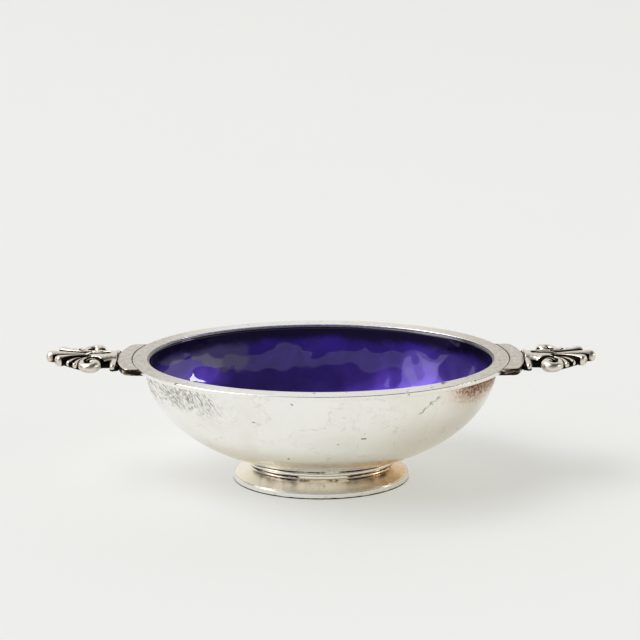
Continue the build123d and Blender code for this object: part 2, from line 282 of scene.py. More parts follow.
def make_polished_silver():
    """Sterling silver, hand raised, polished and long in use: a soft mirror with a faint warm tint. It shows
    brown tarnish under the rim at one end, a tan foot that is browner at its right, rubbed scratches at the
    other end, a few pits, painted shade that warms the lower right and bottom and greys the rim's top, and
    black dirt mixed with painted shade in the seams and creases."""
    material, tree, place = start_material("sterling_silver_polished_worn")
    at = add(tree, "ShaderNodeSeparateXYZ", {"Vector": place}).outputs
    along = add(tree, "ShaderNodeMath", {0: at["X"]}, operation="ABSOLUTE").outputs[0]
    on_bowl = where(tree, (along, *SHORT_OF_PLATES))
    clouds = add(tree, "ShaderNodeTexNoise", {
        "Vector": place, "Scale": per_mm(9), "Detail": 5, "Roughness": 0.6, "Distortion": 0.4}).outputs["Fac"]
    grain = add(tree, "ShaderNodeTexNoise", {
        "Vector": place, "Scale": per_mm(0.9), "Detail": 4, "Roughness": 0.65}).outputs["Fac"]
    specks = add(tree, "ShaderNodeTexNoise", {
        "Vector": place, "Scale": per_mm(1.1), "Detail": 6, "Roughness": 0.75}).outputs["Fac"]
    freckles = add(tree, "ShaderNodeTexNoise", {
        "Vector": place, "Scale": per_mm(0.5), "Detail": 5, "Roughness": 0.8}).outputs["Fac"]
    colour = lay(tree, linear("#FBFAF6"), "#DFD6C6", (clouds, 0.45, 0.8, 0.0, 0.3))

    # Painted shade: a warm, darker tint on the bowl's lower right and its bottom, where it mirrors the
    # floor's shadow
    painted_warm_shade = add(tree, "ShaderNodeMath", {
        0: where(tree, (at["X"], *WARM_SHADE_X), (at["Z"], *WARM_SHADE_Z, 0.35, 1.0)),
        1: where(tree, (at["Z"], *BOTTOM_Z, 0.0, 0.8), (at["Z"], *ABOVE_FOOT_Z))},
        operation="MAXIMUM").outputs[0]
    colour = lay(tree, colour, "#DCD0B4", painted_warm_shade, 0.75)

    # Tarnish speckles sit under the rim towards the right handle, where the polishing cloth doesn't reach
    near_end = where(tree, (at["X"], *TARNISH_X), on_bowl, (at["Z"], *TARNISH_Z), (at["Z"], *UNDER_RIM_Z))
    colour = lay(tree, colour, "#C99C70", near_end, 0.65)
    speckled = add(tree, "ShaderNodeMath", {
        0: near_end, 1: 0.3, 2: freckles}, operation="MULTIPLY_ADD").outputs[0]
    tarnish = where(tree, near_end, (speckled, 0.6, 0.84))
    colour = lay(tree, colour, "#704628", tarnish)

    # The foot's spread is tan, and browner at its right
    foot = where(tree, (at["Z"], *TAN_FOOT_Z), (at["Z"], *ABOVE_BASE_Z), (grain, 0.2, 0.6, 0.6, 1.0))
    colour = lay(tree, colour, "#FFF6E4", foot)
    colour = lay(tree, colour, "#D6AA70", foot, (at["X"], *BROWN_FOOT_X, 0.0, 0.85))

    # The rim's top is painted a warm grey for the darker reflection it shows, more at the ends than at the
    # front, and is made a little rougher
    rubbed_and_shaded = where(tree, (at["Z"], *RIM_TOP_Z), (along, *RIM_ENDS_SHADE_X, 0.2, 1.0), (grain, 0.3, 0.7, 0.55, 1.0))
    colour = lay(tree, colour, "#C2B9AB", rubbed_and_shaded)

    worn = rubbing_scratches(tree, place, at, clouds, on_bowl)
    colour = lay(tree, colour, "#5A5046", worn, 0.7)
    colour = lay(tree, colour, "#5E564C", ragged_scratch(tree, place, at, specks, freckles), 0.75)

    # The polish dried in faint wandering edges
    dried = add(tree, "ShaderNodeMath", {0: clouds, 1: 0.53, 2: 0.012}, operation="COMPARE").outputs[0]
    colour = lay(tree, colour, "#A89C84", dried, (specks, 0.42, 0.62, 0.0, 0.2))

    # A few pits, where a fine noise peaks
    peaks = add(tree, "ShaderNodeTexNoise", {
        "Vector": place, "Scale": per_mm(1.0), "Detail": 0}).outputs["Fac"]
    colour = lay(tree, colour, "#4A3F35", (peaks, 0.82, 0.86), 0.8)

    # Dirt and painted shade are brown where thin and black where thick
    dirt_and_shade = seam_dirt_and_shade(tree, place)
    colour = lay(tree, colour, "#8A7458", (dirt_and_shade, 0.15, 0.5))
    black = where(tree, (dirt_and_shade, 0.35, 0.7))
    colour = lay(tree, colour, "#241F1B", black)

    height = add(tree, "ShaderNodeMath", {0: worn, 1: -0.6, 2: grain}, operation="MULTIPLY_ADD").outputs[0]
    bump = add(tree, "ShaderNodeBump", {"Height": height, "Strength": 0.08, "Distance": 0.05 * MM})
    rough = where(tree, (grain, 0.3, 0.7, 0.17, 0.27))
    for share, more in ((tarnish, 0.2), (rubbed_and_shaded, 0.12), (black, 0.25)):
        rough = add(tree, "ShaderNodeMath", {
            0: share, 1: more, 2: rough}, operation="MULTIPLY_ADD").outputs[0]
    end_material(tree, {
        "Base Color": colour, "Metallic": 1.0, "Roughness": rough, "Normal": bump.outputs["Normal"]})
    return material


def make_oxidised_silver():
    """Silver cast in sand, blackened with liver of sulphur and rubbed back: near black in the grooves with a
    brown fringe, bright on the crowns."""
    material, tree, place = start_material("cast_silver_oxidised_rubbed_back")
    # The marks hold the oxide in the hollows and painted shade on steep sides, undersides, low places and
    # gaps
    recess = add(tree, "ShaderNodeAttribute", attribute_name="recess").outputs["Fac"]
    grain = add(tree, "ShaderNodeTexNoise", {
        "Vector": place, "Scale": per_mm(0.7), "Detail": 4, "Roughness": 0.6}).outputs["Fac"]
    uneven = add(tree, "ShaderNodeMath", {0: grain, 1: 0.3, 2: recess}, operation="MULTIPLY_ADD").outputs[0]
    colour = lay(tree, linear("#E6DFD2"), "#8F7A60", (uneven, 0.15, 0.4))
    black = where(tree, (uneven, 0.3, 0.55))
    colour = lay(tree, colour, "#171411", black)
    rough = where(tree, (black, 0.0, 1.0, 0.33, 0.5))
    bump = add(tree, "ShaderNodeBump", {"Height": grain, "Strength": 0.12, "Distance": 0.05 * MM})
    end_material(tree, {
        "Base Color": colour, "Metallic": 1.0, "Roughness": rough, "Normal": bump.outputs["Normal"]})
    return material


# The enamel's painted reflection patches at its ends and its dark band under the rim, in millimetres, as
# pairs like those of the silver
REFLECTION_LEFT_X = (-13.5, -15)
REFLECTION_RIGHT_X = (21, 22.5)
REFLECTION_SLOPE = 0.29
REFLECTION_EDGE = (LIP_Z - 11.1, LIP_Z - 10.6)
REFLECTION_WANDER = 1.2
BLACK_BAND_Z = (LIP_Z - 1.4, LIP_Z + 0.5)
BLACK_BAND_WANDER = 3


def make_cobalt_enamel():
    """Transparent cobalt glass fired over hammered silver: the metal below glows violet where light falls on
    it, the glass skin gives sharp white reflections, and a grey-violet reflection is painted at the ends,
    more at the left."""
    material, tree, place = start_material("transparent_cobalt_enamel_on_silver")
    at = add(tree, "ShaderNodeSeparateXYZ", {"Vector": place}).outputs
    depth = add(tree, "ShaderNodeTexNoise", {
        "Vector": place, "Scale": per_mm(7), "Detail": 4, "Roughness": 0.55,
        "Distortion": 0.5}).outputs["Fac"]
    colour = lay(tree, linear("#593CB6"), "#402892", (depth, 0.3, 0.7))

    # The painted reflection patches at the ends stop at wandering edges, and the left one's lower edge rises
    # to the left
    wander = where(tree, (depth, 0.3, 0.7, -REFLECTION_WANDER, REFLECTION_WANDER))
    edge_x = add(tree, "ShaderNodeMath", {0: at["X"], 1: wander}, operation="SUBTRACT").outputs[0]
    edge_z = add(tree, "ShaderNodeMath", {0: at["Z"], 1: wander}, operation="SUBTRACT").outputs[0]
    sloped = add(tree, "ShaderNodeMath", {
        0: at["X"], 1: REFLECTION_SLOPE, 2: edge_z}, operation="MULTIPLY_ADD").outputs[0]
    ends = add(tree, "ShaderNodeMath", {
        0: where(tree, (edge_x, *REFLECTION_LEFT_X)), 1: where(tree, (edge_x, *REFLECTION_RIGHT_X, 0.0, 0.15))},
        operation="MAXIMUM").outputs[0]
    painted_reflection = where(tree, ends, (sloped, *REFLECTION_EDGE))
    colour = lay(tree, colour, "#645A88", painted_reflection, 0.85)

    # The enamel is black in a band under the rim, and the edge of that band wanders
    black_band_z = add(tree, "ShaderNodeMath", {
        0: depth, 1: BLACK_BAND_WANDER, 2: at["Z"]}, operation="MULTIPLY_ADD").outputs[0]
    black_band = where(tree, (black_band_z, *BLACK_BAND_Z))
    colour = lay(tree, colour, "#17101C", black_band)
    reflection_patch = where(tree, painted_reflection, (black_band, 0.0, 1.0, 1.0, 0.0))
    end_material(tree, {
        "Base Color": colour, "Metallic": where(tree, (reflection_patch, 0.0, 1.0, 0.85, 0.25)),
        "Roughness": where(tree, (depth, 0.0, 1.0, 0.3, 0.45)), "IOR": 1.6, "Coat Weight": 1.0,
        "Coat Roughness": 0.012, "Coat IOR": 1.6})
    return material


def make_paper():
    """Pale matt table paper: almost white, with a barely uneven tone. The eye and the polished metal see it
    partly at its own plain tone, as a retouched product picture shows it, so its shadow is light."""
    material, tree, place = start_material("pale_matt_paper")
    cloud = add(tree, "ShaderNodeTexNoise", {
        "Vector": place, "Scale": per_mm(60), "Detail": 2}).outputs["Fac"]
    colour = lay(tree, linear("#F1F1F6"), "#EFEFF4", cloud)
    lit = add(tree, "ShaderNodeBsdfDiffuse", {"Color": colour}).outputs["BSDF"]
    plain = add(tree, "ShaderNodeEmission", {
        "Color": linear("#F2F2E8"), "Strength": 1.0}).outputs["Emission"]
    ray = add(tree, "ShaderNodeLightPath").outputs
    seen = add(tree, "ShaderNodeMath", {
        0: ray["Is Camera Ray"], 1: ray["Is Glossy Ray"]}, operation="MAXIMUM").outputs[0]
    lifted = where(tree, seen, 0.5)
    surface = add(tree, "ShaderNodeMixShader", {0: lifted, 1: lit, 2: plain}).outputs["Shader"]
    add(tree, "ShaderNodeOutputMaterial", {"Surface": surface})
    return material


polished_silver = make_polished_silver()
oxidised_silver = make_oxidised_silver()
cobalt_enamel = make_cobalt_enamel()


def finish_piece(piece, slot, *solids):
    """Puts a piece in the frame: it rides on the cellar's one body and stands for its CAD solids."""
    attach(piece, "root")
    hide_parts(*solids)


def eased(value, low, high):
    """Eased share of the way from low to high, which may run downwards."""
    share = min(1.0, max(0.0, (value - low) / (high - low)))
    return share * share * (3 - 2 * share)


def mark_dirt_and_shade(piece, share_at):
    """Marks how much dirt and painted shade each point of a silver piece holds, from its place in
    millimetres.
    """
    marks = piece.data.attributes.new("recess", "FLOAT", "POINT")
    for mark, vert in zip(marks.data, piece.data.vertices):
        mark.value = share_at(vert.co / MM)


# Where dirt and painted shade sit in the seams and creases, in millimetres, from where they start to where
# they are full
FOOT_ENDS_X = (2, 7)
BOWL_SEAM_Z = (4.35, 4.1)
LIP_SEAM_Z = (LIP_Z - 0.4, LIP_Z)
RIM_SEAM_Z = (RIM_Z - 0.03, RIM_Z - 0.09)
RIM_SEAM_X = (31.6, 32.2)
BASE_SHADOW_TOP_Z = (0.33, 0.2)
BASE_SHADOW_BOTTOM_Z = (0, 0.05)
SPREAD_SEAM_Z = (2.62, 2.86)
BEAD_SEAM = (0.25, 0.42)


def near_ends(at):
    """Share that grows from the middle of the foot's long sides towards its ends."""
    return eased(abs(at.x), *FOOT_ENDS_X)


def outside_neck(at):
    """Share that leaves out what lies inside the foot."""
    return eased(hypot(at.x / neck_x, at.y / neck_y), 0.96, 1.0)


# Bowl and enamel: a ball grown from an evenly divided cube, so that it has no pole, cut at the lip. The
# hammer marks start below the lip, and their mean is taken off so that they swell and sink alike.

BALL_POINTS = 97
HAMMERED_Z = (-0.3, -3.0)
HAMMER_MEAN = 0.95


def raised_bowl_tree():
    """A hammered half ball with three half axes of its own and a collar that stands on its lip."""
    tree, size = start_tree("raised_bowl", {
        "Half length": "Float", "Half width": "Float", "Depth": "Float", "Lip height": "Float",
        "Collar": "Float", "Hammer width": "Float", "Hammer depth": "Float", "Seen from inside": "Bool",
        "Material": "Material"})
    cube = add(tree, "GeometryNodeMeshCube", {
        "Size": (2, 2, 2), "Vertices X": BALL_POINTS, "Vertices Y": BALL_POINTS,
        "Vertices Z": BALL_POINTS}).outputs["Mesh"]
    place = add(tree, "GeometryNodeInputPosition").outputs["Position"]
    height = add(tree, "ShaderNodeSeparateXYZ", {"Vector": place}).outputs["Z"]
    above = add(tree, "FunctionNodeCompare", {
        "A": height, "B": 0.001}, operation="GREATER_THAN").outputs["Result"]
    half = add(tree, "GeometryNodeDeleteGeometry", {"Geometry": cube, "Selection": above}).outputs["Geometry"]
    turned = add(tree, "ShaderNodeVectorMath", {
        0: place, 1: (pi / 4, pi / 4, pi / 4)}, operation="MULTIPLY").outputs["Vector"]
    spread = add(tree, "ShaderNodeVectorMath", {0: turned}, operation="TANGENT").outputs["Vector"]
    ball = add(tree, "ShaderNodeVectorMath", {0: spread}, operation="NORMALIZE").outputs["Vector"]
    axes = add(tree, "ShaderNodeCombineXYZ", {
        "X": size["Half length"], "Y": size["Half width"], "Z": size["Depth"]}).outputs["Vector"]
    oval = add(tree, "ShaderNodeVectorMath", {0: ball, 1: axes}, operation="MULTIPLY").outputs["Vector"]
    dish = add(tree, "GeometryNodeSetPosition", {"Geometry": half, "Position": oval}).outputs["Geometry"]

    # Each hammer blow leaves a shallow dish that runs into its neighbours, and it fades out at the lip
    cell = add(tree, "ShaderNodeMath", {0: 1.0, 1: size["Hammer width"]}, operation="DIVIDE").outputs[0]
    blow = add(tree, "ShaderNodeTexVoronoi", {
        "Vector": place, "Scale": cell, "Smoothness": 0.5}, feature="SMOOTH_F1").outputs["Distance"]
    swell = add(tree, "ShaderNodeTexNoise", {"Vector": place, "Scale": cell, "Detail": 1}).outputs["Fac"]
    blows = add(tree, "ShaderNodeMath", {0: blow, 1: swell}, operation="ADD").outputs[0]
    centred = add(tree, "ShaderNodeMath", {0: blows, 1: HAMMER_MEAN}, operation="SUBTRACT").outputs[0]
    mark = where(tree, centred, (height, *HAMMERED_Z), size["Hammer depth"])
    outward = add(tree, "GeometryNodeInputNormal").outputs["Normal"]
    push = add(tree, "ShaderNodeVectorMath", {0: outward, "Scale": mark}, operation="SCALE").outputs["Vector"]
    hammered = add(tree, "GeometryNodeSetPosition", {"Geometry": dish, "Offset": push}).outputs["Geometry"]

    # The collar carries the lip straight up inside the rim band
    at_lip = add(tree, "FunctionNodeCompare", {
        "A": height, "B": -0.0001}, operation="GREATER_THAN").outputs["Result"]
    rise = add(tree, "ShaderNodeCombineXYZ", {"Z": size["Collar"]}).outputs["Vector"]
    collar = add(tree, "GeometryNodeExtrudeMesh", {
        "Mesh": hammered, "Selection": at_lip, "Offset": rise, "Offset Scale": 1.0},
        mode="EDGES").outputs["Mesh"]
    faced = add(tree, "GeometryNodeFlipFaces", {
        "Mesh": collar, "Selection": size["Seen from inside"]}).outputs["Mesh"]
    lift = add(tree, "ShaderNodeCombineXYZ", {"Z": size["Lip height"]}).outputs["Vector"]
    lifted = add(tree, "GeometryNodeTransform", {"Geometry": faced, "Translation": lift}).outputs["Geometry"]
    in_metres = add(tree, "GeometryNodeTransform", {
        "Geometry": lifted, "Scale": (MM, MM, MM)}).outputs["Geometry"]
    return end_tree(tree, in_metres, size["Material"])


def give_wall(piece, thickness):
    """Thickens a skin away from the side that is seen."""
    wall = piece.modifiers.new("wall", "SOLIDIFY")
    wall.thickness = thickness * MM
    wall.offset = -1
    wall.use_even_offset = True
    return settle(piece)


raised_bowl = raised_bowl_tree()
bowl = grow(raised_bowl, "raised_bowl", {
    "Half length": bowl_high.x, "Half width": bowl_high.y, "Depth": bowl_high.z - bowl_low.z,
    "Lip height": LIP_Z, "Collar": 0.0, "Hammer width": 9.0, "Hammer depth": 0.012,
    "Seen from inside": False, "Material": polished_silver})
give_wall(bowl, SILVER_WALL)
# Dirt mixed with painted shade in the crease where the bowl meets the foot, more towards the ends, and a
# little dirt at the lip
mark_dirt_and_shade(bowl, lambda at: max((0.3 + 0.55 * near_ends(at)) * eased(at.z, *BOWL_SEAM_Z) * outside_neck(at),
                               0.3 * eased(at.z, *LIP_SEAM_Z)))
finish_piece(bowl, "polished_silver", "bowl")

enamel = grow(raised_bowl, "fired_enamel", {
    "Half length": enamel_high.x - ENAMEL_COAT, "Half width": enamel_high.y - ENAMEL_COAT,
    "Depth": LIP_Z - enamel_low.z - ENAMEL_COAT, "Lip height": LIP_Z, "Collar": RIM_Z - ENAMEL_STOP - LIP_Z,
    "Hammer width": 4.5, "Hammer depth": 0.24, "Seen from inside": True, "Material": cobalt_enamel})
give_wall(enamel, ENAMEL_COAT)
finish_piece(enamel, "cobalt_enamel", "enamel_lining")


# Rim band, foot and its wires: sections swept round an oval

ROUNDING_STEPS = 6
SUPPORT_REACH = 1.25
OVAL_POINTS = 288


def rounded_section(name, corners):
    """A closed section curve from corners (outwards, up, rounding radius), with a support point beside
    each rounding so that the flats stay flat in the shading."""
    points = []
    count = len(corners)
    for index, (x, z, radius) in enumerate(corners):
        corner = Vector((x, z))
        before = (Vector(corners[index - 1][:2]) - corner).normalized()
        after = (Vector(corners[(index + 1) % count][:2]) - corner).normalized()
        if not radius:
            points.append(corner)
            continue
        half_turn = (pi - before.angle(after)) / 2
        run = radius * tan(half_turn)
        points.append(corner + before * run * SUPPORT_REACH)
        centre = corner + (before + after).normalized() * (radius / cos(half_turn))
        first, last = corner + before * run - centre, corner + after * run - centre
        for step in range(ROUNDING_STEPS + 1):
            share = step / ROUNDING_STEPS
            points.append(centre + (first * (1 - share) + last * share).normalized() * radius)
        points.append(corner + after * run * SUPPORT_REACH)
    curve = bpy.data.curves.new(name, "CURVE")
    curve.dimensions = "3D"
    line = curve.splines.new("POLY")
    line.points.add(len(points) - 1)
    # The sweep hangs a section downwards, so heights are turned over here
    for spot, point in zip(line.points, reversed(points)):
        spot.co = (point.x, -point.y, 0, 1)
    line.use_cyclic_u = True
    section = bpy.data.objects.new(name, curve)
    scene.collection.objects.link(section)
    return section


def oval_sweep_tree():
    """Sweeps a section round an oval."""
    tree, size = start_tree("oval_sweep", {
        "Section": "Object", "Half length": "Float", "Half width": "Float", "Material": "Material"})
    ring = add(tree, "GeometryNodeCurvePrimitiveCircle", {
        "Resolution": OVAL_POINTS, "Radius": 1.0}).outputs["Curve"]
    axes = add(tree, "ShaderNodeCombineXYZ", {
        "X": size["Half length"], "Y": size["Half width"], "Z": 1.0}).outputs["Vector"]
    oval = add(tree, "GeometryNodeTransform", {"Geometry": ring, "Scale": axes}).outputs["Geometry"]
    upright = add(tree, "GeometryNodeSetCurveNormal", {"Curve": oval}, mode="Z_UP").outputs["Curve"]
    section = add(tree, "GeometryNodeObjectInfo", {"Object": size["Section"]}).outputs["Geometry"]
    swept = add(tree, "GeometryNodeCurveToMesh", {"Curve": upright, "Profile Curve": section}).outputs["Mesh"]
    in_metres = add(tree, "GeometryNodeTransform", {
        "Geometry": swept, "Scale": (MM, MM, MM)}).outputs["Geometry"]
    return end_tree(tree, in_metres, size["Material"])


oval_sweep = oval_sweep_tree()


def sweep_section(name, corners, half_length, half_width):
    """Sweeps a section round an oval of the given half axes and drops the section's curve."""
    section = rounded_section(name + "_section", corners)
    piece = grow(oval_sweep, name, {
        "Section": section, "Half length": half_length, "Half width": half_width,
        "Material": polished_silver})
    bpy.data.objects.remove(section)
    return piece


HIDDEN_EDGE = 0.1
RIM_EDGE = 0.28
RIM_TOP_EDGE = 0.12
RIM_INNER_EDGE = 0.14
rim_width = rim_high.x - enamel_high.x
rim = sweep_section("rim_band_wire", [
    (0, LIP_Z, HIDDEN_EDGE), (rim_width, LIP_Z, RIM_EDGE),
    (rim_width, RIM_Z, RIM_TOP_EDGE), (0, RIM_Z, RIM_INNER_EDGE)], enamel_high.x, enamel_high.y)
mark_dirt_and_shade(rim, lambda at: 0.75 * eased(at.z, *RIM_SEAM_Z) * eased(abs(at.x), *RIM_SEAM_X))
finish_piece(rim, "polished_silver", "rim_band")

# Two more points up the base wire's side keep its painted contact shadow line narrow
BASE_EDGE = 0.16
BASE_WIDTH = 1.5
BASE_SIDE_Z = (0.28, 0.34)
base = sweep_section("foot_base_wire_ring", [
    (-BASE_WIDTH, 0, HIDDEN_EDGE), (0, 0, BASE_EDGE), *[(0, height, 0) for height in BASE_SIDE_Z],
    (0, base_high.z, BASE_EDGE), (-BASE_WIDTH, base_high.z, HIDDEN_EDGE)], base_high.x, base_high.y)
# Painted contact shadow: a dark line low on the base wire's outer face, where it stands on the table, but not
# on its flat bottom
mark_dirt_and_shade(base, lambda at: 0.9 * eased(at.z, *BASE_SHADOW_TOP_Z) * eased(at.z, *BASE_SHADOW_BOTTOM_Z))
finish_piece(base, "polished_silver", "foot_base_wire")

# The foot's sheet: its inside first, then the sagging spread from its edge up to the neck, then the neck
NECK_WALL = 0.7
FOOT_SHOULDER = 1.5
FOOT_SAG = 0.15
FOOT_REACH = 2.72
FOOT_EDGE_Z = base_high.z + 0.02
FOOT_INNER_REACH = 1.4
FOOT_INNER_BEND = 0.3
SPREAD_STEPS = 14
NECK_STEPS = 6
shoulder_z = base_high.z + FOOT_SHOULDER
foot_corners = [(-NECK_WALL, spread_high.z, 0), (-NECK_WALL, shoulder_z - NECK_WALL, FOOT_INNER_BEND),
                (FOOT_INNER_REACH, base_high.z, 0)]
for step in range(SPREAD_STEPS + 1):
    out = 1 - step / SPREAD_STEPS
    droop = 4 * FOOT_SAG * out * (1 - out)
    foot_corners.append((FOOT_REACH * out, FOOT_EDGE_Z + FOOT_SHOULDER * (1 - out) - droop, 0))
for step in range(1, NECK_STEPS + 1):
    foot_corners.append((0, shoulder_z + (spread_high.z - shoulder_z) * step / NECK_STEPS, 0))
spread = sweep_section("foot_spread_sheet", foot_corners, neck_x, neck_y)
# Dirt mixed with painted shade where the spread rises into the neck under the bead, more towards the ends
mark_dirt_and_shade(spread, lambda at: (0.15 + 0.6 * near_ends(at)) * eased(at.z, *SPREAD_SEAM_Z))
finish_piece(spread, "polished_silver", "foot_spread")

BEAD_RADIUS = 0.45
BEAD_STEPS = 20
bead_z = bead_low.z + BEAD_RADIUS
bead_corners = []
for step in range(BEAD_STEPS):
    turn = 2 * pi * step / BEAD_STEPS
    bead_corners.append((BEAD_RADIUS * cos(turn), bead_z + BEAD_RADIUS * sin(turn), 0))
bead = sweep_section("foot_bead_wire", bead_corners, bead_high.x - BEAD_RADIUS, bead_high.y - BEAD_RADIUS)
# Painted shade on the bead's upper and lower sides, which leaves its middle bright, mixed with dirt and more
# towards the ends
mark_dirt_and_shade(bead, lambda at: (0.25 + 0.45 * near_ends(at)) * eased(abs(at.z - bead_z), *BEAD_SEAM))
finish_piece(bead, "polished_silver", "foot_bead")


# Bracket plates: the solid's own outline with its edges softened. The seam along the rim reaches out to a
# little over 1 of the rim's own oval.

PLATE_EDGE = 0.14
PLATE_SEAM = 1.008
PLATE_SEAM_TILT = (0.2, 0.98)
PLATE_SHADED_SIDE_TILT = (0.8, 0.2)


def clear_facets(shape):
    """Merges the solid's loose triangles and takes out the lines between flat ones."""
    bmesh.ops.remove_doubles(shape, verts=shape.verts, dist=0.002 * MM)
    bmesh.ops.dissolve_limit(shape, angle_limit=radians(1), verts=shape.verts, edges=shape.edges)


for side in ("right", "left"):
    plate = new_piece(side + "_bracket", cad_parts[side + "_bracket_plate"].data.copy())
    plate.data.materials.clear()
    plate.data.materials.append(polished_silver)
    reshape(plate, clear_facets)
    edge = plate.modifiers.new("edge", "BEVEL")
    edge.width = PLATE_EDGE * MM
    edge.segments = 3
    edge.limit_method = "ANGLE"
    edge.angle_limit = radians(40)
    edge.harden_normals = True
    settle(plate)
    marks = plate.data.attributes.new("recess", "FLOAT", "FACE")
    for mark, face in zip(marks.data, plate.data.polygons):
        # Dirt lies black in the bevel along the rim; the plate's sides get painted shade, less dark
        from_rim = hypot(face.center.x / rim_high.x, face.center.y / rim_high.y) / MM
        on_bevel = PLATE_SEAM_TILT[0] < face.normal.z < PLATE_SEAM_TILT[1]
        seam = 0.9 if from_rim < PLATE_SEAM and on_bevel else 0.0
        mark.value = max(seam, 0.7 * eased(abs(face.normal.z), *PLATE_SHADED_SIDE_TILT))
    finish_piece(plate, "polished_silver", side + "_bracket_plate")


# Palmettes: strands that turn away from the handle's axis, fused like a casting and chased with grooves

STRAND_STEP = 0.06
STRAND_SECTION_POINTS = 48
END_BLUNTNESS = 2.4
END_ROUNDNESS = 0.45


def cast_strand_tree():
    """A strand that follows a path and its radii and closes at its end."""
    tree, size = start_tree("cast_strand", {
        "Path": "Object", "End radius": "Float", "Crown": "Float", "Keel": "Float", "Fullness": "Float",
        "Material": "Material"})
    path = add(tree, "GeometryNodeObjectInfo", {"Object": size["Path"]}).outputs["Geometry"]
    dense = add(tree, "GeometryNodeResampleCurve", {
        "Curve": path, "Length": STRAND_STEP}, mode="LENGTH").outputs["Curve"]
    upright = add(tree, "GeometryNodeSetCurveNormal", {"Curve": dense}, mode="Z_UP").outputs["Curve"]

    # The radius closes in a blunt half round over the last stretch
    along = add(tree, "GeometryNodeSplineParameter").outputs["Length"]
    whole = add(tree, "GeometryNodeSplineLength").outputs["Length"]
    left = add(tree, "ShaderNodeMath", {0: whole, 1: along}, operation="SUBTRACT").outputs[0]
    near_end = add(tree, "ShaderNodeMath", {0: left, 1: size["End radius"]}, operation="DIVIDE").outputs[0]
    past = add(tree, "ShaderNodeMath", {0: 1.0, 1: near_end}, operation="SUBTRACT", use_clamp=True).outputs[0]
    closed = add(tree, "ShaderNodeMath", {0: past, 1: END_BLUNTNESS}, operation="POWER").outputs[0]
    still_open = add(tree, "ShaderNodeMath", {
        0: 1.0, 1: closed}, operation="SUBTRACT", use_clamp=True).outputs[0]
    share = add(tree, "ShaderNodeMath", {0: still_open, 1: END_ROUNDNESS}, operation="POWER").outputs[0]
    radius = add(tree, "GeometryNodeInputRadius").outputs["Radius"]
    closing = add(tree, "ShaderNodeMath", {0: radius, 1: share}, operation="MULTIPLY").outputs[0]

    # The section is an oval with its own height above and below, and a low fullness makes it boxy
    circle = add(tree, "GeometryNodeCurvePrimitiveCircle", {
        "Resolution": STRAND_SECTION_POINTS, "Radius": 1.0}).outputs["Curve"]
    place = add(tree, "GeometryNodeInputPosition").outputs["Position"]
    sign = add(tree, "ShaderNodeVectorMath", {0: place}, operation="SIGN").outputs["Vector"]
    size_only = add(tree, "ShaderNodeVectorMath", {0: place}, operation="ABSOLUTE").outputs["Vector"]
    power = add(tree, "ShaderNodeCombineXYZ", {"X": size["Fullness"], "Y": size["Fullness"], "Z": 1.0})
    filled = add(tree, "ShaderNodeVectorMath", {0: size_only, 1: power.outputs["Vector"]}, operation="POWER")
    boxy = add(tree, "ShaderNodeVectorMath", {0: filled.outputs["Vector"], 1: sign}, operation="MULTIPLY")
    parts = add(tree, "ShaderNodeSeparateXYZ", {"Vector": boxy.outputs["Vector"]}).outputs
    below = add(tree, "FunctionNodeCompare", {
        "A": parts["Y"], "B": 0.0}, operation="GREATER_THAN").outputs["Result"]
    stretch = add(tree, "GeometryNodeSwitch", {
        "Switch": below, "False": size["Crown"], "True": size["Keel"]}, input_type="FLOAT").outputs["Output"]
    tall = add(tree, "ShaderNodeMath", {0: parts["Y"], 1: stretch}, operation="MULTIPLY").outputs[0]
    egg = add(tree, "GeometryNodeSetPosition", {
        "Geometry": circle,
        "Position": add(tree, "ShaderNodeCombineXYZ", {"X": parts["X"], "Y": tall}).outputs["Vector"]})
    swept = add(tree, "GeometryNodeCurveToMesh", {
        "Curve": upright, "Profile Curve": egg.outputs["Geometry"], "Scale": closing,
        "Fill Caps": True}).outputs["Mesh"]
    return end_tree(tree, swept, size["Material"])


cast_strand = cast_strand_tree()


def turned_path(start, steps, heights, radii, mirror=1, tilt=0.0):
    """A path that starts along the handle and goes on by steps (length, turn in degrees). A height and a half
    width are given at its start and after each step, and a tilt lowers it away from the handle's axis."""
    curve = bpy.data.curves.new("strand_path", "CURVE")
    curve.dimensions = "3D"
    curve.resolution_u = 24
    line = curve.splines.new("BEZIER")
    line.bezier_points.add(len(steps))
    place, heading = Vector((start[0], start[1], heights[0])), 0.0
    spots = line.bezier_points
    spots[0].co = spots[0].handle_left = place
    for index, (length, turn) in enumerate(steps):
        swing = radians(turn)
        reach = 4 / 3 * tan(swing / 4) * length / swing if turn else length / 3
        chord = 2 * sin(swing / 2) * length / swing if turn else length
        rise = Vector((0, 0, heights[index + 1] - heights[index]))
        leave = Vector((cos(heading), sin(heading), 0))
        middle = heading + swing / 2
        finish = place + Vector((cos(middle), sin(middle), 0)) * chord + rise
        heading += swing
        arrive = Vector((cos(heading), sin(heading), 0))
        spots[index].handle_right = place + leave * reach + rise / 3
        spots[index + 1].handle_left = finish - arrive * reach - rise / 3
        spots[index + 1].co = spots[index + 1].handle_right = finish
        place = finish
    for spot, radius in zip(spots, radii):
        spot.radius = radius
        spot.handle_left_type = spot.handle_right_type = "FREE"
        for end in (spot.co, spot.handle_left, spot.handle_right):
            end.z -= tilt * (end.y - start[1])
            end.y *= mirror
    path = bpy.data.objects.new("strand_path", curve)
    scene.collection.objects.link(path)
    return path


def cast(path, end_radius, crown, keel, fullness=1.0):
    """Grows a strand along a path and drops the path."""
    strand = grow(cast_strand, "strand", {
        "Path": path, "End radius": end_radius, "Crown": crown, "Keel": keel, "Fullness": fullness,
        "Material": oxidised_silver})
    bpy.data.objects.remove(path)
    return strand


